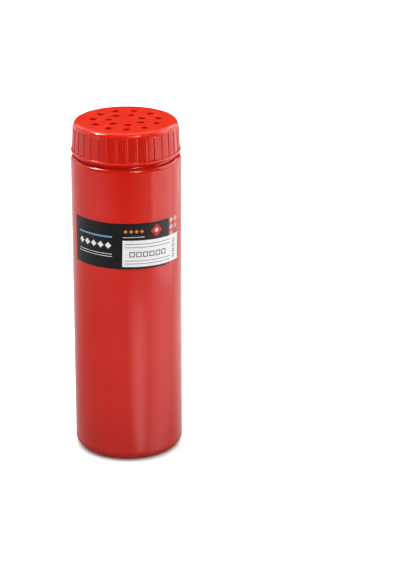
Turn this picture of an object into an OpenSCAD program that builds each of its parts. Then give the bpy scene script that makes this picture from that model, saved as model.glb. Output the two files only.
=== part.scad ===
// Tall shaker bottle with a perforated screw cap, for spices, sugar or flour.
// Millimetres, +Z up. The bottle stands on z = 0 with its axis on the origin, and its front faces -Y.

/* [Bottle] */
// Outer diameter of the body
body_d = 71; // [64:0.5:90]
// Height of the shoulder above the table
shoulder_h = 200.8; // [175:0.2:260]
// Thickness of the bottle's wall
wall = 1.4; // [1:0.1:2.2]
// Radius of the outer edge round the base
base_edge_r = 6.5; // [4:0.1:8]
// Radius of the outer edge round the shoulder
shoulder_edge_r = 3; // [2.6:0.1:4]
// Diameter of the recess under the base
base_recess_d = 50; // [44:1:54]
// Depth of the recess under the base
base_recess_h = 2; // [1.2:0.1:3.5]
// Length of the moulding seam across the recess
seam_l = 38; // [20:1:40]
// Width of the moulding seam
seam_w = 1; // [0.6:0.1:1.6]
// Height of the moulding seam
seam_h = 0.6; // [0.3:0.1:1]

/* [Neck] */
// Height of the lip above the shoulder
neck_h = 19.5; // [18:0.1:24]
// Width of the shoulder from the body's side to the neck
shoulder_w = 5.3; // [4.6:0.1:6]
// Width of the sloped step round the foot of the neck
neck_step_w = 2.6; // [1.6:0.1:3]
// Width of that step at its top
neck_step_top_w = 0.9; // [0.5:0.1:1.4]
// Clearance between that step and the closed cap
neck_step_gap = 0.4; // [0.3:0.1:0.6]
// Thickness of the neck's wall
neck_wall = 1.8; // [1.4:0.1:2.4]
// Radius of the outer edge round the lip
lip_edge_r = 0.6; // [0.3:0.1:1]

/* [Thread] */
// Rise of the cap in one turn
thread_lead = 8; // [7:0.5:9]
// Number of thread starts
thread_starts = 2; // [1:1:2]
// Depth of each thread ridge
thread_depth = 1.2; // [0.9:0.1:1.4]
// Width of a ridge at its foot
thread_foot_w = 1.9; // [1.5:0.1:2]
// Width of a ridge at its crest
thread_crest_w = 0.9; // [0.6:0.1:1.1]
// Clearance between the cap's thread and the neck's thread
thread_gap = 0.35; // [0.3:0.05:0.5]
// Turns of each ridge on the neck
neck_turns = 1; // [0.8:0.05:1.05]
// Turns of each ridge in the cap
cap_turns = 0.65; // [0.5:0.05:0.8]
// Distance from the lip to the top end of the neck's thread
neck_thread_drop = 3.4; // [3:0.1:4]
// Distance from the cap's lower edge to the bottom end of its thread
cap_thread_rise = 4.3; // [3.4:0.1:5]
// Turn in degrees over which a ridge runs out at each end
thread_fade = 30; // [20:1:45]

/* [Cap] */
// Gap between the shoulder and the closed cap
cap_gap = 2.6; // [1.6:0.1:4]
// Thickness of the skirt's wall at the top
cap_wall = 1.7; // [1.2:0.1:2.2]
// Thickness of the perforated top
top_t = 1.8; // [1.2:0.1:3]
// Slope of the skirt in degrees
skirt_draft = 2.6; // [1:0.1:4]
// Radius of the edge round the top
rim_r = 2.8; // [1.5:0.1:3]
// Height of the flange round the cap's lower edge
flange_h = 1.7; // [1.2:0.1:3]
// Distance by which the flange is set back from the body's side
flange_inset = 0.26; // [0:0.02:0.6]
// Radius of the flange's edges
flange_edge_r = 0.4; // [0.3:0.1:0.5]

/* [Grip ribs] */
// Number of ribs round the skirt
rib_count = 34; // [24:1:40]
// Width of a rib
rib_w = 1.9; // [1.4:0.1:2.4]
// Distance by which a rib stands out from the skirt
rib_proud = 0.5; // [0.3:0.05:0.7]
// Distance from the cap's top to the ribs' upper ends
rib_drop = 2.8; // [2.5:0.1:5]
// Bearing in degrees of the first rib
rib_phase = -87.4; // [-180:0.1:180]

/* [Shaker holes] */
// Diameter of a hole
hole_d = 5; // [3:0.1:6]
// Number of holes in the outer ring
outer_holes = 11; // [6:1:13]
// Diameter of the outer ring of holes
outer_ring_d = 42.2; // [38:0.2:46]
// Bearing in degrees of the outer ring's first hole
outer_phase = -86.8; // [-180:0.1:180]
// Number of holes in the inner ring
inner_holes = 7; // [4:1:8]
// Diameter of the inner ring of holes
inner_ring_d = 22.2; // [20:0.2:26]
// Bearing in degrees of the inner ring's first hole
inner_phase = -81.5; // [-180:0.1:180]

/* [Seal] */
// Thickness of the seal between the lip and the cap
seal_t = 1.2; // [0.8:0.1:2]
// Clearance between the seal and the cap's bore
seal_gap = 0.3; // [0.2:0.05:0.6]
// Radius of the bead in the cap that keeps the seal in
bead_r = 0.6; // [0.5:0.05:0.8]
// Clearance between the seal and the bead
bead_gap = 0.3; // [0.2:0.05:0.5]

/* [Labels] */
// Thickness of the glue under a label
glue_t = 0.02; // [0.02:0.01:0.05]
// Thickness of the front label
label_t = 0.09; // [0.06:0.01:0.2]
// Length of the front label round the body
label_l = 70.2; // [40:0.2:90]
// Height of the front label
label_h = 30.6; // [20:0.2:50]
// Height of the front label's centre above the table
label_z = 149.9; // [60:0.1:160]
// Bearing in degrees of the front label's centre
label_bearing = -95.7; // [-180:0.1:180]
// Lean of the front label in degrees, positive where its right end is higher
label_lean = -0.8; // [-4:0.1:4]
// Thickness of the write-on sticker
sticker_t = 0.09; // [0.06:0.01:0.2]
// Length of the write-on sticker round the body
sticker_l = 43; // [20:0.1:60]
// Height of the write-on sticker
sticker_h = 17.7; // [10:0.1:28]
// Length of the write-on sticker past the end of the front label
sticker_reach = 9.6; // [4:0.1:18]
// Height of the sticker's lower edge above the front label's lower edge
sticker_lift = 1.1; // [-2:0.1:8]
// Lean of the write-on sticker in degrees, positive where its right end is higher
sticker_lean = -1.7; // [-4:0.1:4]
// Length over which the sticker steps down from the front label to the body
sticker_step = 0.8; // [0.4:0.1:2]

/* [Hidden] */
$fn = 96;

body_r = body_d / 2;
inner_r = body_r - wall;
recess_r = base_recess_d / 2;
neck_r = body_r - shoulder_w;
neck_bore_r = neck_r - neck_wall;
lip_z = shoulder_h + neck_h;

flank = (thread_foot_w - thread_crest_w) / 2 / thread_depth;
cap_bore_r = neck_r + thread_depth + thread_gap;
// Drop from a neck ridge to the cap ridge that bears up against it
thread_offset = thread_foot_w - flank * (thread_depth + thread_gap) + thread_gap;
thread_step = 7.5;
fade_sink = 0.2;
neck_thread_z = lip_z - neck_thread_drop - neck_turns * thread_lead;

cap_z = shoulder_h + cap_gap;
neck_step_z = cap_z - neck_step_gap;
seal_top_z = lip_z + seal_t;
cap_top_z = seal_top_z + top_t;
cap_thread_z = cap_z + cap_thread_rise;
// Bearing at which the cap's ridge starts, so that it lies on the neck's helix
cap_thread_bearing = 360 * (cap_thread_z + thread_offset - neck_thread_z) / thread_lead;
skirt_top_r = cap_bore_r + cap_wall;
flange_r = body_r - flange_inset;
rib_r = (rib_w * rib_w / 4 + rib_proud * rib_proud) / (2 * rib_proud);
rib_z = cap_z + flange_h / 2;
rib_end_z = cap_top_z - rib_drop - rib_r;
seal_r = cap_bore_r - seal_gap;
bead_z = lip_z - bead_gap - bead_r;

label_inner_r = body_r + glue_t;
label_outer_r = label_inner_r + label_t;
sticker_inner_r = label_outer_r + glue_t;
sticker_outer_r = sticker_inner_r + sticker_t;
sticker_low_r = label_inner_r + sticker_t;
label_end = label_bearing + arc_deg(label_l) / 2;
sticker_bearing = label_end + arc_deg(sticker_reach - sticker_l / 2);
sticker_z = label_z - label_h / 2 + sticker_lift + sticker_h / 2;

// Margin by which a cutter passes the face that it cuts
over = 1;

// Radius of the skirt's plain wall at height z
function skirt_r(z) = skirt_top_r + (cap_top_z - z) * tan(skirt_draft);

// Angle that a length takes up round the body
function arc_deg(length) = length / body_r * 180 / PI;

// Share of a ridge's depth at a turn from its start: below zero at both ends, where it dips into the wall
function ridge_share(turn, span) =
    let (fade = min(1, turn / thread_fade, (span - turn) / thread_fade))
    fade * (1 + fade_sink) - fade_sink;

// Section of a ridge at one bearing. Outward ridges have side 1 and inward ones -1.
function ridge_section(root_r, side, root_t, bearing, z, share) =
    let (crest_r = root_r + side * thread_depth * share)
    let (foot_r = root_r - side * root_t)
    let (crest_h = side * thread_crest_w / 2)
    let (foot_h = side * (thread_foot_w / 2 + flank * root_t))
    [for (p = [[foot_r, -foot_h], [crest_r, -crest_h], [crest_r, crest_h], [foot_r, foot_h]])
        [p[0] * cos(bearing), p[0] * sin(bearing), z + p[1]]];

// One helical ridge that starts at a bearing and a height and climbs by the thread's lead
module ridge(root_r, side, root_t, bearing, z, turns) {
    span = 360 * turns;
    steps = ceil(span / thread_step);
    points = [for (i = [0:steps])
        let (turn = span * i / steps)
        each ridge_section(root_r, side, root_t, bearing + turn, z + thread_lead * turn / 360,
            ridge_share(turn, span))];
    sides = [for (i = [0:steps - 1], j = [0:3])
        let (a = 4 * i + j)
        let (b = 4 * i + (j + 1) % 4)
        each [[a, b, b + 4], [a, b + 4, a + 4]]];
    last = 4 * steps;
    ends = [[3, 2, 1], [3, 1, 0], [last, last + 1, last + 2], [last, last + 2, last + 3]];
    polyhedron(points = points, faces = concat(sides, ends), convexity = 6);
}

// All starts of a thread
module thread(root_r, side, root_t, bearing, z, turns) {
    for (k = [0:thread_starts - 1])
        rotate(360 * k / thread_starts)
            ridge(root_r, side, root_t, bearing, z, turns);
}

// Half outline of a round body from z0 to z1, with round edges below and above
module round_half(r, z0, z1, low_r, high_r) {
    translate([0, z0 + low_r])
        square([r, z1 - z0 - low_r - high_r]);
    translate([0, z0])
        square([r - low_r, (z1 - z0) / 2]);
    translate([0, (z0 + z1) / 2])
        square([r - high_r, (z1 - z0) / 2]);
    translate([r - low_r, z0 + low_r])
        circle(low_r);
    translate([r - high_r, z1 - high_r])
        circle(high_r);
}

// Half outline of the recess under the base, raised to z
module recess_half(r, z) {
    roof_z = z + base_recess_h;
    polygon([[0, z - over], [r + over, z - over], [r - base_recess_h, roof_z], [0, roof_z]]);
}

// Half outline of the sloped step from the shoulder up to the neck
module neck_step_half() {
    foot_r = neck_r + neck_step_w;
    polygon([
        [0, shoulder_h / 2], [foot_r, shoulder_h / 2], [foot_r, shoulder_h - wall / 2],
        [neck_r + neck_step_top_w, neck_step_z], [0, neck_step_z]
    ]);
}

// Blow-moulded bottle: body, shoulder, stepped and threaded neck, and standing ring
module bottle() {
    color("firebrick") {
        rotate_extrude()
            difference() {
                union() {
                    round_half(body_r, 0, shoulder_h, base_edge_r, shoulder_edge_r);
                    neck_step_half();
                    round_half(neck_r, shoulder_h / 2, lip_z, lip_edge_r, lip_edge_r);
                }
                difference() {
                    round_half(inner_r, wall, shoulder_h - wall,
                        base_edge_r - wall, shoulder_edge_r - wall);
                    recess_half(recess_r + wall, wall);
                }
                translate([0, shoulder_h / 2])
                    square([neck_bore_r, lip_z - shoulder_h / 2 + over]);
                recess_half(recess_r, 0);
            }
        thread(neck_r, 1, neck_wall / 2, 0, neck_thread_z, neck_turns);
        translate([-seam_l / 2, -seam_w / 2, base_recess_h - seam_h])
            cube([seam_l, seam_w, seam_h + wall / 2]);
    }
}

// Half outline of the cap's outside, without its ribs
module cap_half() {
    corner_r = skirt_r(cap_top_z);
    edge_l = rim_r / tan(45 + skirt_draft / 2);
    edge_r = corner_r + edge_l * sin(skirt_draft);
    edge_z = cap_top_z - edge_l * cos(skirt_draft);
    flat_r = corner_r - edge_l;
    polygon([[0, cap_z], [skirt_r(cap_z), cap_z], [edge_r, edge_z], [flat_r, cap_top_z], [0, cap_top_z]]);
    translate([flat_r, cap_top_z - rim_r])
        circle(rim_r);
    round_half(flange_r, cap_z, cap_z + flange_h, flange_edge_r, flange_edge_r);
}

// One grip rib with a round upper end, standing on the flange
module rib() {
    foot_r = skirt_r(rib_z) + rib_proud - rib_r;
    rib_l = (rib_end_z - rib_z) / cos(skirt_draft);
    translate([foot_r, 0, rib_z])
        rotate([0, -skirt_draft, 0]) {
            cylinder(r = rib_r, h = rib_l);
            translate([0, 0, rib_l])
                sphere(rib_r);
        }
}

// Ring of shaker holes through the cap's top
module hole_ring(count, ring_d, phase) {
    for (k = [0:count - 1])
        rotate(phase + 360 * k / count)
            translate([ring_d / 2, 0, seal_top_z - over])
                cylinder(d = hole_d, h = top_t + 2 * over);
}

// Screw cap: perforated top, ribbed skirt, flange, thread and the bead that keeps the seal in
module screw_cap() {
    color("red") {
        difference() {
            union() {
                rotate_extrude()
                    cap_half();
                for (k = [0:rib_count - 1])
                    rotate(rib_phase + 360 * k / rib_count)
                        rib();
            }
            translate([0, 0, cap_z - over])
                cylinder(r = cap_bore_r, h = seal_top_z - cap_z + over);
            hole_ring(outer_holes, outer_ring_d, outer_phase);
            hole_ring(inner_holes, inner_ring_d, inner_phase);
        }
        thread(cap_bore_r, -1, cap_wall / 2, cap_thread_bearing, cap_thread_z, cap_turns);
        rotate_extrude()
            translate([cap_bore_r, bead_z])
                circle(bead_r);
    }
}

// Flat ring between the lip and the cap
module seal_ring() {
    color("whitesmoke")
        translate([0, 0, lip_z])
            difference() {
                cylinder(r = seal_r, h = seal_t);
                translate([0, 0, -over])
                    cylinder(r = neck_bore_r, h = seal_t + 2 * over);
            }
}

// Leaning wedge that cuts a label of a length and height out of a shell round the body
module label_wedge(length, height, bearing, z, lean) {
    half = arc_deg(length) / 2;
    reach = body_r / cos(half / 2) + over;
    translate([0, 0, z])
        rotate(bearing)
            rotate([lean, 0, 0])
                linear_extrude(height, center = true)
                    polygon([
                        [0, 0],
                        [reach * cos(half), -reach * sin(half)],
                        [reach, 0],
                        [reach * cos(half), reach * sin(half)]
                    ]);
}

// Shell round the body at the labels' height
module label_shell(from_r, to_r) {
    shell_h = label_h + sticker_h + label_l;
    translate([0, 0, label_z - shell_h / 2])
        difference() {
            cylinder(r = to_r, h = shell_h);
            translate([0, 0, -over])
                cylinder(r = from_r, h = shell_h + 2 * over);
        }
}

// Black label wrapped round the front of the body
module front_label() {
    color("black")
        intersection() {
            label_shell(label_inner_r, label_outer_r);
            label_wedge(label_l, label_h, label_bearing, label_z, label_lean);
        }
}

// White sticker that overlaps the front label and steps down onto the body past its end
module product_sticker() {
    under_l = label_l + 2 * glue_t;
    under_h = label_h + 2 * glue_t;
    past_l = label_l + 2 * sticker_step;
    color("white")
        difference() {
            intersection() {
                label_shell(label_inner_r, sticker_outer_r);
                label_wedge(sticker_l, sticker_h, sticker_bearing, sticker_z, sticker_lean);
            }
            intersection() {
                cylinder(r = sticker_inner_r, h = lip_z);
                label_wedge(under_l, under_h, label_bearing, label_z, label_lean);
            }
            difference() {
                label_shell(sticker_low_r, sticker_outer_r + over);
                label_wedge(past_l, under_h + 2 * sticker_step, label_bearing, label_z, label_lean);
            }
        }
}

bottle();
screw_cap();
seal_ring();
front_label();
product_sticker();
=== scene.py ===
import bmesh
import bpy
import math
from mathutils import Matrix, Vector


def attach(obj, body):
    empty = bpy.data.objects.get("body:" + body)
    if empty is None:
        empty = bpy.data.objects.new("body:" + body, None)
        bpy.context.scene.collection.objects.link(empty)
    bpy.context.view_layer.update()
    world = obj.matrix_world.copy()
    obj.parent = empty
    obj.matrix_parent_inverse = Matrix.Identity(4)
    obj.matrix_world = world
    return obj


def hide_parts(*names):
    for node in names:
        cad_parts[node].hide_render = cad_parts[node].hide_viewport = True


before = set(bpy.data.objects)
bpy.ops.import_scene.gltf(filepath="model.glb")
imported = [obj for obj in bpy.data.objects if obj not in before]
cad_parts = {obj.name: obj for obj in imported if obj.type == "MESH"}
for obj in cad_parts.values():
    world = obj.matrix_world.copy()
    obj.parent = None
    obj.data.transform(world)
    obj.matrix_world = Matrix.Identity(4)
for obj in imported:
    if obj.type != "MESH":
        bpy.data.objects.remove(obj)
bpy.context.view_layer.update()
scene = bpy.context.scene
scene.view_settings.view_transform = "Standard"
mm = 0.001
print("frame loaded:", ", ".join(sorted(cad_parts)))

photoCamera = {
    "eye": (0.047474, -1.39674, 0.63357),
    "pitchDown": 20.523,  # degrees below the horizon
    "lens": 143.74,
    "sensor": 36.0,
}


def placeCamera(spec):
    data = bpy.data.cameras.new("photoCamera")
    data.lens = spec["lens"]
    data.sensor_width = spec["sensor"]
    data.clip_start, data.clip_end = 0.05, 40
    camera = bpy.data.objects.new("photoCamera", data)
    camera.location = spec["eye"]
    camera.rotation_euler = (math.radians(90 - spec["pitchDown"]), 0, 0)
    scene.collection.objects.link(camera)
    scene.camera = camera


placeCamera(photoCamera)
print("camera placed")


# Mesh helpers: a half section in mm, rounded at its corners and spun about the upright axis

def drawSection(bm, corners):
    verts = [bm.verts.new((r * mm, 0, z * mm)) for r, z, *_ in corners]
    for a, b in zip(verts, verts[1:]):
        bm.edges.new((a, b))
    for vert, (_, _, *edge) in zip(verts, corners):
        if edge:
            bmesh.ops.bevel(bm, geom=[vert], offset=edge[0] * mm, offset_type="OFFSET", affect="VERTICES",
                            segments=edge[1], profile=0.5, material=-1)


def arcCorners(middle, height, radius, start, end, steps):
    # plain corners along an arc of the section, by angle from the outward direction
    angles = [math.radians(start + (end - start) * k / steps) for k in range(steps + 1)]
    return [(middle + radius * math.cos(a), height + radius * math.sin(a)) for a in angles]


def addRows(bm, low, high, rows):
    # splits the section's edge that runs between two corners into rows
    for edge in bm.edges[:]:
        ends = sorted(((v.co.x / mm, v.co.z / mm) for v in edge.verts), key=lambda p: p[1])
        if math.dist(ends[0], low) < 0.02 and math.dist(ends[1], high) < 0.02:
            bmesh.ops.subdivide_edges(bm, edges=[edge], cuts=rows - 1)
            return
    raise ValueError(f"no edge from {low} to {high}")


def spinSection(bm, steps, startBearing=0.0):
    turned = Matrix.Rotation(math.radians(startBearing), 3, "Z")
    bmesh.ops.rotate(bm, verts=bm.verts[:], cent=(0, 0, 0), matrix=turned)
    bmesh.ops.spin(bm, geom=bm.verts[:] + bm.edges[:], cent=(0, 0, 0), axis=(0, 0, 1), dvec=(0, 0, 0),
                   angle=2 * math.pi, steps=steps, use_merge=True, use_normal_flip=False,
                   use_duplicate=False)
    bmesh.ops.remove_doubles(bm, verts=bm.verts[:], dist=1e-6)


def bearingOf(vert):
    return math.degrees(math.atan2(vert.co.y, vert.co.x))


def radiusOf(vert):
    return vert.co.xy.length / mm


def setRadius(vert, radius):
    scale = radius * mm / vert.co.xy.length
    vert.co.x *= scale
    vert.co.y *= scale


def ridgeHeight(spec, bearing, z):
    # height of a screw ridge above its wall, rising with the bearing and running out at both ends
    best = 0.0
    span = 360 * spec["turns"]
    for start in range(spec["starts"]):
        turn = (bearing - spec["bearing"] - 360 * start / spec["starts"]) % 360
        if turn > span:
            continue
        away = abs(z - spec["z"] - spec["lead"] * turn / 360)
        share = 1.2 * min(1, turn / spec["fade"], (span - turn) / spec["fade"]) - 0.2
        flank = (spec["foot"] / 2 - away) / (spec["foot"] - spec["crest"]) * 2
        flank = min(1, max(0, flank))
        best = max(best, spec["depth"] * share * flank * flank * (3 - 2 * flank))
    return best


def boundaryLoop(bm, radius, z):
    return [e for e in bm.edges if e.is_boundary
            and all(abs(v.co.z / mm - z) < 0.01 and abs(radiusOf(v) - radius) < 0.01 for v in e.verts)]


def putInOrder(elements, place):
    # the mesh tools leave verts and faces in an order that changes from run to run
    ranks = {element: rank for rank, element in enumerate(sorted(elements, key=place))}
    elements.sort(key=ranks.get)


def finishPiece(name, bm, material, body, node, sharpAngle=38):
    bmesh.ops.recalc_face_normals(bm, faces=bm.faces[:])
    putInOrder(bm.verts, lambda vert: vert.co[:])
    putInOrder(bm.faces, lambda face: face.calc_center_median()[:])
    mesh = bpy.data.meshes.new(name)
    bm.to_mesh(mesh)
    bm.free()
    mesh.materials.append(material)
    mesh.shade_smooth()
    mesh.set_sharp_from_angle(angle=math.radians(sharpAngle))
    piece = bpy.data.objects.new(name, mesh)
    scene.collection.objects.link(piece)
    even = piece.modifiers.new("evenNormals", "WEIGHTED_NORMAL")
    even.keep_sharp = True
    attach(piece, body)
    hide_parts(node)
    print(name, "has", sum(len(p.vertices) - 2 for p in mesh.polygons), "triangles")


# Material helpers

def newMaterial(name):
    material = bpy.data.materials.new(name)
    material.use_nodes = True
    tree = material.node_tree
    return material, tree, tree.nodes["Principled BSDF"]


def addNode(tree, kind, values=(), **settings):
    node = tree.nodes.new(kind)
    for key, value in settings.items():
        setattr(node, key, value)
    for socket, value in dict(values).items():
        if isinstance(value, bpy.types.NodeSocket):
            tree.links.new(value, node.inputs[socket])
        else:
            node.inputs[socket].default_value = value
    return node


def calc(tree, operation, a, b=0.0, c=0.0):
    return addNode(tree, "ShaderNodeMath", {0: a, 1: b, 2: c}, operation=operation).outputs[0]


def noise(tree, vector, scale, detail=2.0, roughness=0.5):
    values = {"Vector": vector, "Scale": scale, "Detail": detail, "Roughness": roughness}
    return addNode(tree, "ShaderNodeTexNoise", values).outputs["Fac"]


def remap(tree, value, low, high, toLow, toHigh):
    values = {0: value, 1: low, 2: high, 3: toLow, 4: toHigh}
    return addNode(tree, "ShaderNodeMapRange", values, clamp=True).outputs[0]


def mixColour(tree, share, first, second, blend="MIX"):
    node = addNode(tree, "ShaderNodeMix", {0: share}, data_type="RGBA", blend_type=blend)
    for socket, value in ((6, first), (7, second)):
        if isinstance(value, bpy.types.NodeSocket):
            tree.links.new(value, node.inputs[socket])
        else:
            node.inputs[socket].default_value = (*value, 1)
    return node.outputs[2]


def bump(tree, height, distance, strength, normal=None):
    values = {"Height": height, "Distance": distance, "Strength": strength}
    if normal:
        values["Normal"] = normal
    return addNode(tree, "ShaderNodeBump", values).outputs[0]


def objectPoint(tree):
    return addNode(tree, "ShaderNodeTexCoord").outputs["Object"]


def stretched(tree, vector, scale):
    return addNode(tree, "ShaderNodeMapping", {"Vector": vector, "Scale": scale}).outputs[0]


def unrolled(tree, spec):
    # millimetres along and across a label that is wrapped round the body and leans a little
    point = objectPoint(tree)
    parts = addNode(tree, "ShaderNodeSeparateXYZ", {0: point}).outputs
    bearing = calc(tree, "ARCTAN2", parts[1], parts[0])
    centre = math.radians(spec["bearing"])
    along = calc(tree, "MULTIPLY_ADD", bearing, spec["bodyR"], -centre * spec["bodyR"])
    side = addNode(tree, "ShaderNodeVectorMath", {0: point, 1: (-math.sin(centre), math.cos(centre), 0)},
                   operation="DOT_PRODUCT").outputs["Value"]
    lean = math.radians(spec["lean"])
    up = calc(tree, "MULTIPLY_ADD", parts[2], math.cos(lean) / mm, -spec["z"] * math.cos(lean))
    up = calc(tree, "MULTIPLY_ADD", side, -math.sin(lean) / mm, up)
    along = calc(tree, "MULTIPLY_ADD", up, math.sin(lean), along)
    return point, along, up


def within(tree, value, low, high, soft=0.06):
    # 1 between low and high, with a soft printed edge
    middle, half = (low + high) / 2, (high - low) / 2
    away = calc(tree, "ABSOLUTE", calc(tree, "SUBTRACT", value, middle))
    return remap(tree, away, half - soft, half + soft, 1, 0)


def block(tree, along, up, left, right, low, high):
    return calc(tree, "MULTIPLY", within(tree, along, left, right), within(tree, up, low, high))


def either(tree, *masks):
    total = masks[0]
    for mask in masks[1:]:
        total = calc(tree, "MAXIMUM", total, mask)
    return total


def outlineBox(tree, along, up, left, right, low, high, line):
    outer = block(tree, along, up, left, right, low, high)
    hollow = block(tree, along, up, left + line, right - line, low + line, high - line)
    return calc(tree, "SUBTRACT", outer, hollow)


def repeated(tree, along, left, pitch):
    # position within one cell of a row that starts at left, measured from the cell's centre
    cell = calc(tree, "WRAP", along, left + pitch, left)
    return calc(tree, "SUBTRACT", cell, left + pitch / 2)


def diamond(tree, along, up, middle, size):
    reach = calc(tree, "ADD", calc(tree, "ABSOLUTE", along),
                 calc(tree, "ABSOLUTE", calc(tree, "SUBTRACT", up, middle)))
    return remap(tree, reach, size - 0.09, size + 0.09, 1, 0)


# Blow-moulded bottle

bottleSpec = {
    "bodyR": 35.5, "shoulderZ": 200.8, "wall": 1.4, "baseEdge": 6.5, "shoulderEdge": 3.0,
    "recessR": 25.0, "recessH": 2.0, "neckR": 30.2, "boreR": 28.4, "lipZ": 220.3, "lipEdge": 0.6,
    "stepR": 32.39, "stepTopR": 31.1, "stepZ": 203.0, "smallEdge": (0.3, 3),
    "recessEdge": (0.5, 3), "floorEdge": (0.4, 3),
    "steps": 360, "partingH": 0.04, "threadZ": (205.7, 218.7), "threadRows": 66,
    "thread": {"bearing": 0.0, "z": 208.9, "lead": 8.0, "starts": 2, "turns": 1.0, "fade": 30.0,
               "depth": 1.2, "foot": 1.9, "crest": 0.9},
    "seam": {"length": 38.0, "width": 1.0, "low": 1.4, "high": 2.7, "edge": 0.25},
    "red": (0.70, 0.0150, 0.0055), "redDeep": (0.66, 0.0135, 0.0050), "roughness": (0.11, 0.16),
    "glow": 0.35, "grain": 0.000002, "wave": 0.00006, "waveScale": 26,
    "trail": {"bodyR": 35.5, "bearing": -31.3, "z": 158.4, "lean": 0.0, "size": 1.9,
              "columns": (-2.4, 2.4), "rows": (4.6, 0.0, -4.6),
              "inks": [(0.80, 0.52, 0.28), (0.40, 0.54, 0.74), (0.42, 0.56, 0.76),
                       (0.78, 0.36, 0.15), (0.78, 0.36, 0.15), (0.16, 0.04, 0.07)]},
}


def printTrail(tree, colour, spec):
    # small coloured diamonds beside the black label
    _, along, up = unrolled(tree, spec)
    places = [(column, row) for row in spec["rows"] for column in spec["columns"]]
    for (column, row), ink in zip(places, spec["inks"]):
        share = diamond(tree, calc(tree, "SUBTRACT", along, column), up, row, spec["size"])
        colour = mixColour(tree, share, colour, ink)
    return colour


def plasticRed(name, spec):
    material, tree, shader = newMaterial(name)
    point = objectPoint(tree)
    drift = noise(tree, point, 18, 3)
    speck = noise(tree, point, 1400, 2)
    tone = remap(tree, drift, 0.35, 0.65, 0, 1)
    colour = mixColour(tree, tone, spec["red"], spec["redDeep"])
    colour = mixColour(tree, remap(tree, speck, 0.55, 0.75, 0, 0.10), colour, spec["redDeep"])
    if "trail" in spec:
        colour = printTrail(tree, colour, spec["trail"])
    if "skirtShadeRed" in spec:
        # painted shade: the skirt is given a darker red than the top and the flange, for the light that
        # falls less on its sides
        upright = addNode(tree, "ShaderNodeSeparateXYZ", {0: point}).outputs[2]
        height = calc(tree, "MULTIPLY", upright, 1 / mm)
        colour = mixColour(tree, within(tree, height, *spec["skirtShadeSpan"], 0.8), colour, spec["skirtShadeRed"])
    tree.links.new(colour, shader.inputs["Base Color"])
    rubbed = noise(tree, stretched(tree, point, (70, 70, 110)), 1, 4, 0.6)
    low, high = spec["roughness"]
    tree.links.new(remap(tree, rubbed, 0.3, 0.7, low, high), shader.inputs["Roughness"])
    slow = bump(tree, noise(tree, point, spec["waveScale"], 1), spec["wave"], 0.5)
    fine = bump(tree, noise(tree, point, 1100, 3, 0.6), spec["grain"], 0.6, slow)
    tree.links.new(fine, shader.inputs["Normal"])
    shader.inputs["IOR"].default_value = 1.38
    shader.inputs["Subsurface Weight"].default_value = spec["glow"]
    shader.inputs["Subsurface Radius"].default_value = (1.0, 0.10, 0.05)
    shader.inputs["Subsurface Scale"].default_value = 0.005
    return material


def buildBottle(spec):
    bm = bmesh.new()
    body, inner, top = spec["bodyR"], spec["bodyR"] - spec["wall"], spec["shoulderZ"]
    foot, roof, wall = spec["recessR"], spec["recessH"], spec["wall"]
    neck, bore, lip = spec["neckR"], spec["boreR"], spec["lipZ"]
    stepZ, edge = spec["stepZ"], spec["shoulderEdge"]
    small, soft, floor = spec["smallEdge"], spec["recessEdge"], spec["floorEdge"]
    threadLow, threadHigh = spec["threadZ"]
    shoulder = arcCorners(body - edge, top - edge, edge, 0, 90, 8)
    drawSection(bm, [
        (0, roof), (foot - roof, roof, *soft), (foot, 0, *soft), (body, 0, spec["baseEdge"], 14),
        *shoulder, (spec["stepR"], top), (spec["stepTopR"], stepZ, *small), (neck, stepZ, *small),
        (neck, threadLow), (neck, threadHigh), (neck, lip, spec["lipEdge"], 5),
        (bore, lip, *small), (bore, top - wall, *soft),
        (inner, top - wall, edge - wall, 6), (inner, wall, spec["baseEdge"] - wall, 7),
        (foot + wall, wall, *floor), (foot + wall - roof, wall + roof, *floor), (0, wall + roof),
    ])
    addRows(bm, (neck, threadLow), (neck, threadHigh), spec["threadRows"])
    spinSection(bm, spec["steps"])
    for vert in bm.verts:
        r, z, bearing = radiusOf(vert), vert.co.z / mm, bearingOf(vert)
        if abs(r - neck) < 0.01 and threadLow < z < threadHigh:
            setRadius(vert, r + ridgeHeight(spec["thread"], bearing, z))
        onParting = min(abs(bearing), 180 - abs(bearing)) < 0.01
        if onParting and r > inner + 0.5 and spec["baseEdge"] < z < top:
            setRadius(vert, r + spec["partingH"])  # faint line where the mould halves met
    # pinched seam across the recess under the base
    seam = spec["seam"]
    bar = bmesh.ops.create_cube(bm, size=1)["verts"]
    barSize = Vector((seam["length"], seam["width"], seam["high"] - seam["low"]))
    bmesh.ops.scale(bm, verts=bar, vec=barSize * mm)
    bmesh.ops.translate(bm, verts=bar, vec=Vector((0, 0, (seam["high"] + seam["low"]) / 2 * mm)))
    lowEnd = (seam["low"] + 0.1) * mm
    lowEdges = (e for v in bar for e in v.link_edges if min(u.co.z for u in e.verts) < lowEnd)
    barEdges = list(dict.fromkeys(lowEdges))  # each edge once, in the same order each run
    bmesh.ops.bevel(bm, geom=barEdges, offset=seam["edge"] * mm, offset_type="OFFSET", affect="EDGES",
                    segments=3, profile=0.5, material=-1)
    plastic = plasticRed("moulded red bottle", spec)
    finishPiece("shakerBottle", bm, plastic, "bottle", "bottle")


buildBottle(bottleSpec)


# Perforated screw cap

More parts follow.
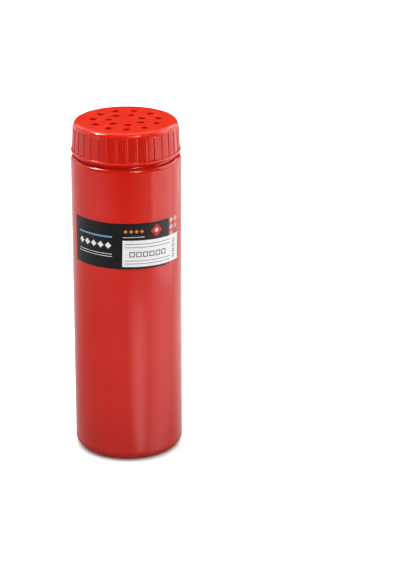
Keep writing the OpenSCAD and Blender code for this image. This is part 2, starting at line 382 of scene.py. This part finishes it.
capSpec = {
    "footZ": 203.4, "topZ": 223.3, "underZ": 221.5, "boreR": 31.75, "skirtTopR": 33.45, "draft": 2.6,
    "rimEdge": 2.676, "flangeR": 35.24, "flangeH": 1.7, "flangeEdge": 0.4, "soleR": 34.14, "boreEdge": 0.3,
    "flatR": 30.2, "plateR": 29.5, "underR": 29.0,
    "outerSteps": 34 * 26, "boreSteps": 272,
    "ribs": {"count": 34, "width": 1.9, "proud": 0.5, "drop": 2.8, "phase": -87.4},
    "holes": [{"count": 11, "ringR": 21.1, "phase": -86.8}, {"count": 7, "ringR": 11.1, "phase": -81.5}],
    "holeR": 2.5, "holeEdge": 0.15, "holeRimR": 3.0, "holeSteps": 36,
    "bead": {"z": 219.4, "radius": 0.6}, "beadRows": 10, "threadZ": (206.2, 215.1), "threadRows": 45,
    "thread": {"bearing": 18.1875, "z": 207.7, "lead": 8.0, "starts": 2, "turns": 0.65, "fade": 30.0,
               "depth": 1.2, "foot": 1.9, "crest": 0.9},
    "red": (0.76, 0.0220, 0.0060), "redDeep": (0.72, 0.0195, 0.0055), "roughness": (0.11, 0.16),
    # the skirt colour on the next line is painted shade: a darker red for the skirt between the two
    # heights after it
    "skirtShadeRed": (0.64, 0.0140, 0.0042), "skirtShadeSpan": (205.2, 220.2),
    "glow": 0.8, "grain": 0.000002, "wave": 0.00003, "waveScale": 60,
}


def skirtR(spec, z):
    return spec["skirtTopR"] + (spec["topZ"] - z) * math.tan(math.radians(spec["draft"]))


def buildCap(spec):
    foot, top, under, bore = spec["footZ"], spec["topZ"], spec["underZ"], spec["boreR"]
    ribs = spec["ribs"]
    ribR = (ribs["width"] ** 2 / 4 + ribs["proud"] ** 2) / (2 * ribs["proud"])
    ribEnd = top - ribs["drop"] - ribR
    flangeTop, ribTop = foot + spec["flangeH"], ribEnd + 1.1
    soleR, plateR, underR = spec["soleR"], spec["plateR"], spec["underR"]
    boreFoot = bore + spec["boreEdge"]

    # outside: flange, ribbed skirt and round rim
    bm = bmesh.new()
    marks = [flangeTop, ribEnd - 0.1, ribTop]
    drawSection(bm, [
        (soleR, foot), (spec["flangeR"], foot, spec["flangeEdge"], 6),
        (spec["flangeR"], flangeTop, spec["flangeEdge"], 6),
        *[(skirtR(spec, z), z) for z in marks],
        (spec["skirtTopR"], top, spec["rimEdge"], 12), (spec["flatR"], top), (plateR, top),
    ])
    for low, high, rows in zip(marks, marks[1:], (6, 9)):
        addRows(bm, (skirtR(spec, low), low), (skirtR(spec, high), high), rows)
    spinSection(bm, spec["outerSteps"], ribs["phase"])
    pitch = 360 / ribs["count"]
    for vert in bm.verts:
        z = vert.co.z / mm
        if z < flangeTop - 0.01 or z > ribTop or radiusOf(vert) > skirtR(spec, z) + 0.05:
            continue
        off = math.radians((bearingOf(vert) - ribs["phase"] + pitch / 2) % pitch - pitch / 2)
        axisR = skirtR(spec, z) + ribs["proud"] - ribR
        left = ribR ** 2 - (axisR * math.sin(off)) ** 2 - max(0, z - ribEnd) ** 2
        if left > 0:
            setRadius(vert, max(radiusOf(vert), axisR * math.cos(off) + math.sqrt(left)))

    # inside: bore with its ridge and the bead that keeps the seal in
    well = bmesh.new()
    bead = spec["bead"]
    beadLow, beadHigh = bead["z"] - bead["radius"], bead["z"] + bead["radius"]
    threadLow, threadHigh = spec["threadZ"]
    drawSection(well, [
        (boreFoot, foot), (bore, foot + spec["boreEdge"]), (bore, threadLow), (bore, threadHigh),
        (bore, beadLow), (bore, beadHigh), (bore, under), (underR, under),
    ])
    addRows(well, (bore, threadLow), (bore, threadHigh), spec["threadRows"])
    addRows(well, (bore, beadLow), (bore, beadHigh), spec["beadRows"])
    spinSection(well, spec["boreSteps"])
    for vert in well.verts:
        z = vert.co.z / mm
        if threadLow < z < threadHigh:
            setRadius(vert, bore - ridgeHeight(spec["thread"], bearingOf(vert), z))
        elif beadLow < z < beadHigh:
            setRadius(vert, bore - math.sqrt(bead["radius"] ** 2 - (z - bead["z"]) ** 2))
    inside = bpy.data.meshes.new("capInside")
    well.to_mesh(inside)
    well.free()
    bm.from_mesh(inside)
    bpy.data.meshes.remove(inside)

    # one rounded hole, spun about its own axis, then set round both rings
    hole = bmesh.new()
    holeR, holeRimR, holeEdge = spec["holeR"], spec["holeRimR"], (spec["holeEdge"], 4)
    drawSection(hole, [
        (holeRimR, under), (holeR, under, *holeEdge), (holeR, top, *holeEdge), (holeRimR, top),
    ])
    spinSection(hole, spec["holeSteps"])
    eyelet = bpy.data.meshes.new("capHole")
    hole.to_mesh(eyelet)
    hole.free()
    topLoops, underLoops = boundaryLoop(bm, plateR, top), boundaryLoop(bm, underR, under)
    for ring in spec["holes"]:
        for k in range(ring["count"]):
            angle = math.radians(ring["phase"] + 360 * k / ring["count"])
            before = set(bm.verts)
            bm.from_mesh(eyelet)
            added = [v for v in bm.verts if v not in before]
            centre = Vector((math.cos(angle), math.sin(angle), 0)) * ring["ringR"] * mm
            bmesh.ops.translate(bm, verts=added, vec=centre)
            edges = dict.fromkeys(e for v in added for e in v.link_edges if e.is_boundary)
            topLoops += [e for e in edges if e.verts[0].co.z > (top - 0.1) * mm]
            underLoops += [e for e in edges if e.verts[0].co.z < (under + 0.1) * mm]
    bpy.data.meshes.remove(eyelet)
    soleLoops = boundaryLoop(bm, soleR, foot) + boundaryLoop(bm, boreFoot, foot)
    for loops in (topLoops, underLoops, soleLoops):
        bmesh.ops.triangle_fill(bm, use_beauty=True, use_dissolve=False, edges=loops)
    print("open edges on the cap:", sum(e.is_boundary for e in bm.edges))
    plastic = plasticRed("moulded red cap", spec)
    finishPiece("perforatedCap", bm, plastic, "screw_cap", "screw_cap")


buildCap(capSpec)


# The foam seal, the label and the sticker keep their solids

def dress(node, material):
    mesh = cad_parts[node].data
    mesh.materials.clear()
    mesh.materials.append(material)


sealSpec = {"white": (0.80, 0.79, 0.76), "shade": (0.66, 0.65, 0.61), "cellScale": 1500}


def foamWhite(spec):
    material, tree, shader = newMaterial("foamed seal white")
    point = objectPoint(tree)
    values = {"Vector": point, "Scale": spec["cellScale"]}
    cells = addNode(tree, "ShaderNodeTexVoronoi", values).outputs["Distance"]
    shade = remap(tree, cells, 0.2, 0.7, 0, 0.6)
    tree.links.new(mixColour(tree, shade, spec["white"], spec["shade"]), shader.inputs["Base Color"])
    tree.links.new(bump(tree, cells, 0.00012, 0.5), shader.inputs["Normal"])
    shader.inputs["Roughness"].default_value = 0.85
    return material


dress("seal_ring", foamWhite(sealSpec))


labelSpec = {
    "bodyR": 35.5, "bearing": -95.7, "z": 149.9, "lean": -0.8,
    "black": (0.0075, 0.0068, 0.0068), "worn": (0.013, 0.012, 0.012), "white": (0.84, 0.84, 0.83),
    "blue": (0.15, 0.36, 0.60), "red": (0.62, 0.022, 0.020), "orange": (0.84, 0.26, 0.03),
    "leftSpan": (-31, -5), "leftPitch": 5.2, "rightSpan": (2, 16), "rightPitch": 3.5,
    "markAt": (24.5, 9.6), "ruleH": 0.35,
}


def labelBlack(spec):
    material, tree, shader = newMaterial("black label film")
    point, along, up = unrolled(tree, spec)
    streak = noise(tree, stretched(tree, point, (90, 90, 700)), 1, 3)
    ground = mixColour(tree, remap(tree, streak, 0.4, 0.75, 0, 1), spec["black"], spec["worn"])
    # plain print: a blue rule over a row of white diamonds, thin rules below,
    # and coloured diamonds on the right
    leftSpan, rightSpan, ruleH = spec["leftSpan"], spec["rightSpan"], spec["ruleH"]
    blue = block(tree, along, up, *leftSpan, 5.6, 6.7)
    row = block(tree, along, up, *leftSpan, -4, 4)
    leftCell = repeated(tree, along, leftSpan[0], spec["leftPitch"])
    white = calc(tree, "MULTIPLY", row, diamond(tree, leftCell, up, 0.3, 2.2))
    rules = [block(tree, along, up, *leftSpan, z, z + ruleH) for z in (-5.6, -7.2)]
    rules.append(block(tree, along, up, *rightSpan, 6.0, 6.0 + ruleH))
    markAlong, markUp = spec["markAt"]
    mark = calc(tree, "SUBTRACT", along, markAlong)
    red, core = diamond(tree, mark, up, markUp, 4.3), diamond(tree, mark, up, markUp, 1.5)
    chain = block(tree, along, up, *rightSpan, 8, 13)
    rightCell = repeated(tree, along, rightSpan[0], spec["rightPitch"])
    orange = calc(tree, "MULTIPLY", chain, diamond(tree, rightCell, up, 10, 1.3))
    inked = {"blue": blue, "orange": orange, "red": red, "white": either(tree, white, core, *rules)}
    for ink, share in inked.items():
        ground = mixColour(tree, share, ground, spec[ink])
    tree.links.new(ground, shader.inputs["Base Color"])
    tree.links.new(remap(tree, streak, 0.3, 0.7, 0.30, 0.42), shader.inputs["Roughness"])
    crease = bump(tree, noise(tree, point, 120, 2), 0.00006, 0.4)
    tree.links.new(bump(tree, noise(tree, point, 2600, 2), 0.000004, 0.5, crease), shader.inputs["Normal"])
    shader.inputs["IOR"].default_value = 1.30
    return material


stickerSpec = {
    "bodyR": 35.5, "bearing": -58.2, "z": 144.55, "lean": -1.7,
    "white": (0.91, 0.90, 0.90), "shade": (0.82, 0.81, 0.82),
    "ink": (0.035, 0.035, 0.04), "grey": (0.16, 0.16, 0.17),
    "ruleSpan": (-20.0, 12.5), "ruleRows": (6.2, 4.0, -5.0, -7.0), "ruleH": 0.42,
    "boxSpan": (-17.6, 8.8), "boxPitch": 4.4,
    "tickSpan": (15.0, 17.6), "tickRows": (3.6, 0.2, -3.2, -6.6), "tickH": 2.4,
}


def stickerWhite(spec):
    material, tree, shader = newMaterial("white sticker film")
    point, along, up = unrolled(tree, spec)
    fibre = noise(tree, stretched(tree, point, (700, 700, 1800)), 1, 3)
    ground = mixColour(tree, remap(tree, fibre, 0.35, 0.75, 0, 0.7), spec["white"], spec["shade"])
    # plain write-on form: ruled lines, a row of empty squares and a tick column
    rules = [block(tree, along, up, *spec["ruleSpan"], z, z + spec["ruleH"]) for z in spec["ruleRows"]]
    row = block(tree, along, up, *spec["boxSpan"], -2.9, 1.7)
    cell = repeated(tree, along, spec["boxSpan"][0], spec["boxPitch"])
    boxes = calc(tree, "MULTIPLY", row, outlineBox(tree, cell, up, -1.75, 1.75, -2.3, 1.2, 0.6))
    ticks = [outlineBox(tree, along, up, *spec["tickSpan"], z, z + spec["tickH"], 0.5)
             for z in spec["tickRows"]]
    colour = mixColour(tree, either(tree, *rules), ground, spec["grey"])
    colour = mixColour(tree, either(tree, boxes, *ticks), colour, spec["ink"])
    tree.links.new(colour, shader.inputs["Base Color"])
    tree.links.new(remap(tree, fibre, 0.3, 0.7, 0.42, 0.56), shader.inputs["Roughness"])
    tree.links.new(bump(tree, fibre, 0.000008, 0.5), shader.inputs["Normal"])
    return material


dress("front_label", labelBlack(labelSpec))
dress("product_sticker", stickerWhite(stickerSpec))
print("seal and labels dressed")


# Floor, world and lamps

floorSpec = {
    "size": 16.0, "white": 0.82, "bounce": (0.35, 0.56), "bounceAt": (0.05, 0.18),
    "lift": (0.66, 0.35), "liftAt": ((0.0305, 0.0405), (0.05, 1.2)),
    "mirrored": 1.02, "contact": (0.030, 0.046),
    "front": 0.05, "frontAt": (-0.60, -0.195), "frontBend": 0.35,
    "behind": 0.25, "behindTurn": (6, 16),
    "left": 0.60, "leftSpot": (-0.16, -0.06, 0), "leftReach": (0.10, 0.34),
    "stripFoot": (0.0086, -0.0338, 0),
    "strips": [
        {"strength": 2.2, "turn": (9, 40), "soft": 10, "start": (0.005, 0.025), "reach": (0.22, 0.34)},
        {"strength": 1.2, "turn": (52, 100), "soft": 14, "start": (0.005, 0.025), "reach": (0.28, 0.44)},
        {"strength": 0.42, "turn": (106, 150), "soft": 14, "start": (0.06, 0.25), "reach": (0.36, 0.48)},
    ],
}


def distanceFrom(tree, point, place):
    node = addNode(tree, "ShaderNodeVectorMath", {0: point, 1: place}, operation="DISTANCE")
    return node.outputs["Value"]


def mirroredFloor(tree, spec, point, across, ahead):
    # painted reflection: the glow that only the plastic's reflections see, grey far in front, straight
    # behind and close by on the left, and dark under the edge of the base as a painted contact shadow
    side = calc(tree, "ABSOLUTE", across)
    bent = calc(tree, "MULTIPLY_ADD", side, spec["frontBend"], ahead)
    tone = remap(tree, bent, *spec["frontAt"], spec["front"], spec["mirrored"])
    inner, outer = (math.radians(a) for a in spec["behindTurn"])
    behind = remap(tree, calc(tree, "ARCTAN2", side, ahead), inner, outer, spec["behind"], 1)
    near = remap(tree, distanceFrom(tree, point, spec["leftSpot"]), *spec["leftReach"], spec["left"], 1)
    contact = remap(tree, distanceFrom(tree, point, (0, 0, 0)), *spec["contact"], 0, 1)
    tone = calc(tree, "MULTIPLY", calc(tree, "MULTIPLY", tone, behind), near)
    return calc(tree, "MULTIPLY", tone, contact)


def brightStrips(tree, spec, point, across, ahead):
    # painted reflection: brighter glowing strips, seen only in reflections, that run out from the front to
    # the right, and a faint one behind them, standing in for lit patches of floor
    footX, footY, _ = spec["stripFoot"]
    offX, offY = calc(tree, "SUBTRACT", across, footX), calc(tree, "SUBTRACT", footY, ahead)
    turn = calc(tree, "ARCTAN2", offX, offY)
    away = distanceFrom(tree, point, spec["stripFoot"])
    glow = 0.0
    for strip in spec["strips"]:
        first, last = (math.radians(a) for a in strip["turn"])
        wedge = within(tree, turn, first, last, math.radians(strip["soft"]))
        start = remap(tree, away, *strip["start"], 0, 1)
        reach = remap(tree, away, *strip["reach"], strip["strength"], 0)
        glow = calc(tree, "MULTIPLY_ADD", calc(tree, "MULTIPLY", wedge, start), reach, glow)
    return glow


def layFloor(spec):
    bm = bmesh.new()
    bmesh.ops.create_grid(bm, x_segments=1, y_segments=1, size=spec["size"] / 2)
    mesh = bpy.data.meshes.new("paleFloor")
    bm.to_mesh(mesh)
    bm.free()
    material, tree, shader = newMaterial("pale floor")
    point = objectPoint(tree)
    across, ahead = addNode(tree, "ShaderNodeSeparateXYZ", {0: point}).outputs[:2]
    tone = mirroredFloor(tree, spec, point, across, ahead)
    strips = brightStrips(tree, spec, point, across, ahead)
    path = addNode(tree, "ShaderNodeLightPath").outputs
    eye = either(tree, path["Is Camera Ray"], path["Is Transmission Ray"])
    gloss = path["Is Glossy Ray"]
    # white to the eye, and grey for the light that it throws back on the object; the grey is darker close
    # to the object, painted shade that darkens the lower body
    away = distanceFrom(tree, point, (0, 0, 0))
    bounce = remap(tree, away, *spec["bounceAt"], *spec["bounce"])
    shade = calc(tree, "MULTIPLY_ADD", eye, calc(tree, "SUBTRACT", spec["white"], bounce), bounce)
    shade = calc(tree, "MULTIPLY", shade, calc(tree, "SUBTRACT", 1.0, gloss))
    tree.links.new(shade, shader.inputs["Base Color"])
    # to the eye it is lifted to plain white beyond the contact shadow; reflections see its own tone
    around = remap(tree, away, *spec["liftAt"][0], 0, spec["lift"][0])
    lift = calc(tree, "ADD", around, remap(tree, ahead, *spec["liftAt"][1], 0, spec["lift"][1]))
    lift = calc(tree, "MULTIPLY", eye, lift)
    shader.inputs["Emission Color"].default_value = (1, 1, 1, 1)
    glow = calc(tree, "MULTIPLY_ADD", gloss, calc(tree, "ADD", tone, strips), lift)
    tree.links.new(glow, shader.inputs["Emission Strength"])
    material.cycles.emission_sampling = "NONE"
    shader.inputs["Roughness"].default_value = 0.9
    shader.inputs["Specular IOR Level"].default_value = 0.0
    floor = bpy.data.objects.new("paleFloor", mesh)
    mesh.materials.append(material)
    scene.collection.objects.link(floor)


layFloor(floorSpec)

worldGrey = 0.06
world = bpy.data.worlds.new("studio")
world.use_nodes = True
world.node_tree.nodes["Background"].inputs["Color"].default_value = (worldGrey, worldGrey, worldGrey, 1)
scene.world = world

# each soft lamp in watts and metres, the two wide overhead ones in watts a square metre
lamps = {
    "topBack": {"kind": "SUN", "power": 2.3, "at": (0.0, 0.50, 0.87), "aim": (0, 0, 0), "wide": 70,
                "unmirrored": True},
    "topSheen": {"kind": "SUN", "power": 1.2, "at": (0.0, 0.50, 0.87), "aim": (0, 0, 0), "wide": 70},
    "frontFill": {"kind": "AREA", "power": 4.2, "at": (0.10, -1.10, 0.22), "aim": (0, 0, 0.12),
                  "size": (0.8, 0.3), "unmirrored": True},
    "upperLeft": {"kind": "AREA", "power": 3.4, "at": (-0.63, -0.10, 0.98), "aim": (0, 0, 0.2),
                  "size": (0.2, 0.2), "unmirrored": True},
    "upperFront": {"kind": "AREA", "power": 1.4, "at": (0.28, -0.55, 0.82), "aim": (0, 0, 0.2),
                   "size": (0.2, 0.2), "unmirrored": True},
    "rightSoft": {"kind": "AREA", "power": 2.2, "at": (0.75, 0.10, 0.60), "aim": (0, 0, 0.2),
                  "size": (0.5, 0.5)},
    "leftGlint": {"kind": "AREA", "power": 14.0, "at": (-0.61, -0.05, 0.98), "aim": (0, 0, 0.2),
                  "size": (0.34, 0.32), "mirroredOnly": True},
    "frontGlint": {"kind": "AREA", "power": 3.9, "at": (0.30, -0.60, 0.76), "aim": (0, 0, 0.2),
                   "size": (0.30, 0.18), "mirroredOnly": True},
    "leftBox": {"kind": "AREA", "power": 3.3, "at": (-0.82, 0.43, 0.47), "aim": (0, 0, 0.2),
                "size": (1.3, 0.8), "mirroredOnly": True},
    "rightBox": {"kind": "AREA", "power": 6.2, "at": (0.82, 0.43, 0.52), "aim": (0, 0, 0.2),
                 "size": (1.3, 0.95), "mirroredOnly": True},
    "leftHigh": {"kind": "AREA", "power": 0.6, "at": (-0.60, 0.66, 0.70), "aim": (0, 0, 0.22),
                 "size": (0.5, 0.25), "mirroredOnly": True},
    "rightHigh": {"kind": "AREA", "power": 1.5, "at": (0.60, 0.66, 0.70), "aim": (0, 0, 0.22),
                  "size": (0.5, 0.25), "mirroredOnly": True},
    "rightCard": {"kind": "AREA", "power": 0.27, "at": (0.345, -0.075, 0.075), "aim": (0, -0.075, 0.075),
                  "size": (0.35, 0.15), "mirroredOnly": True},
    "backCard": {"kind": "AREA", "power": 0.13, "at": (0.345, 0.275, 0.075), "aim": (0, 0.275, 0.075),
                 "size": (0.35, 0.15), "mirroredOnly": True},
}


def hangLamp(name, spec):
    data = bpy.data.lights.new(name, spec["kind"])
    data.energy = spec["power"]
    if spec["kind"] == "SUN":
        data.angle = math.radians(spec["wide"])
    else:
        data.shape = "RECTANGLE"
        data.size, data.size_y = spec["size"]
    lamp = bpy.data.objects.new(name, data)
    lamp.location = spec["at"]
    lamp.rotation_euler = (Vector(spec["aim"]) - lamp.location).to_track_quat("-Z", "Y").to_euler()
    lamp.visible_camera = False
    lamp.visible_diffuse = not spec.get("mirroredOnly", False)
    lamp.visible_glossy = not spec.get("unmirrored", False)
    scene.collection.objects.link(lamp)


for lampName, lampSpec in lamps.items():
    hangLamp(lampName, lampSpec)
print("floor laid and lamps hung")
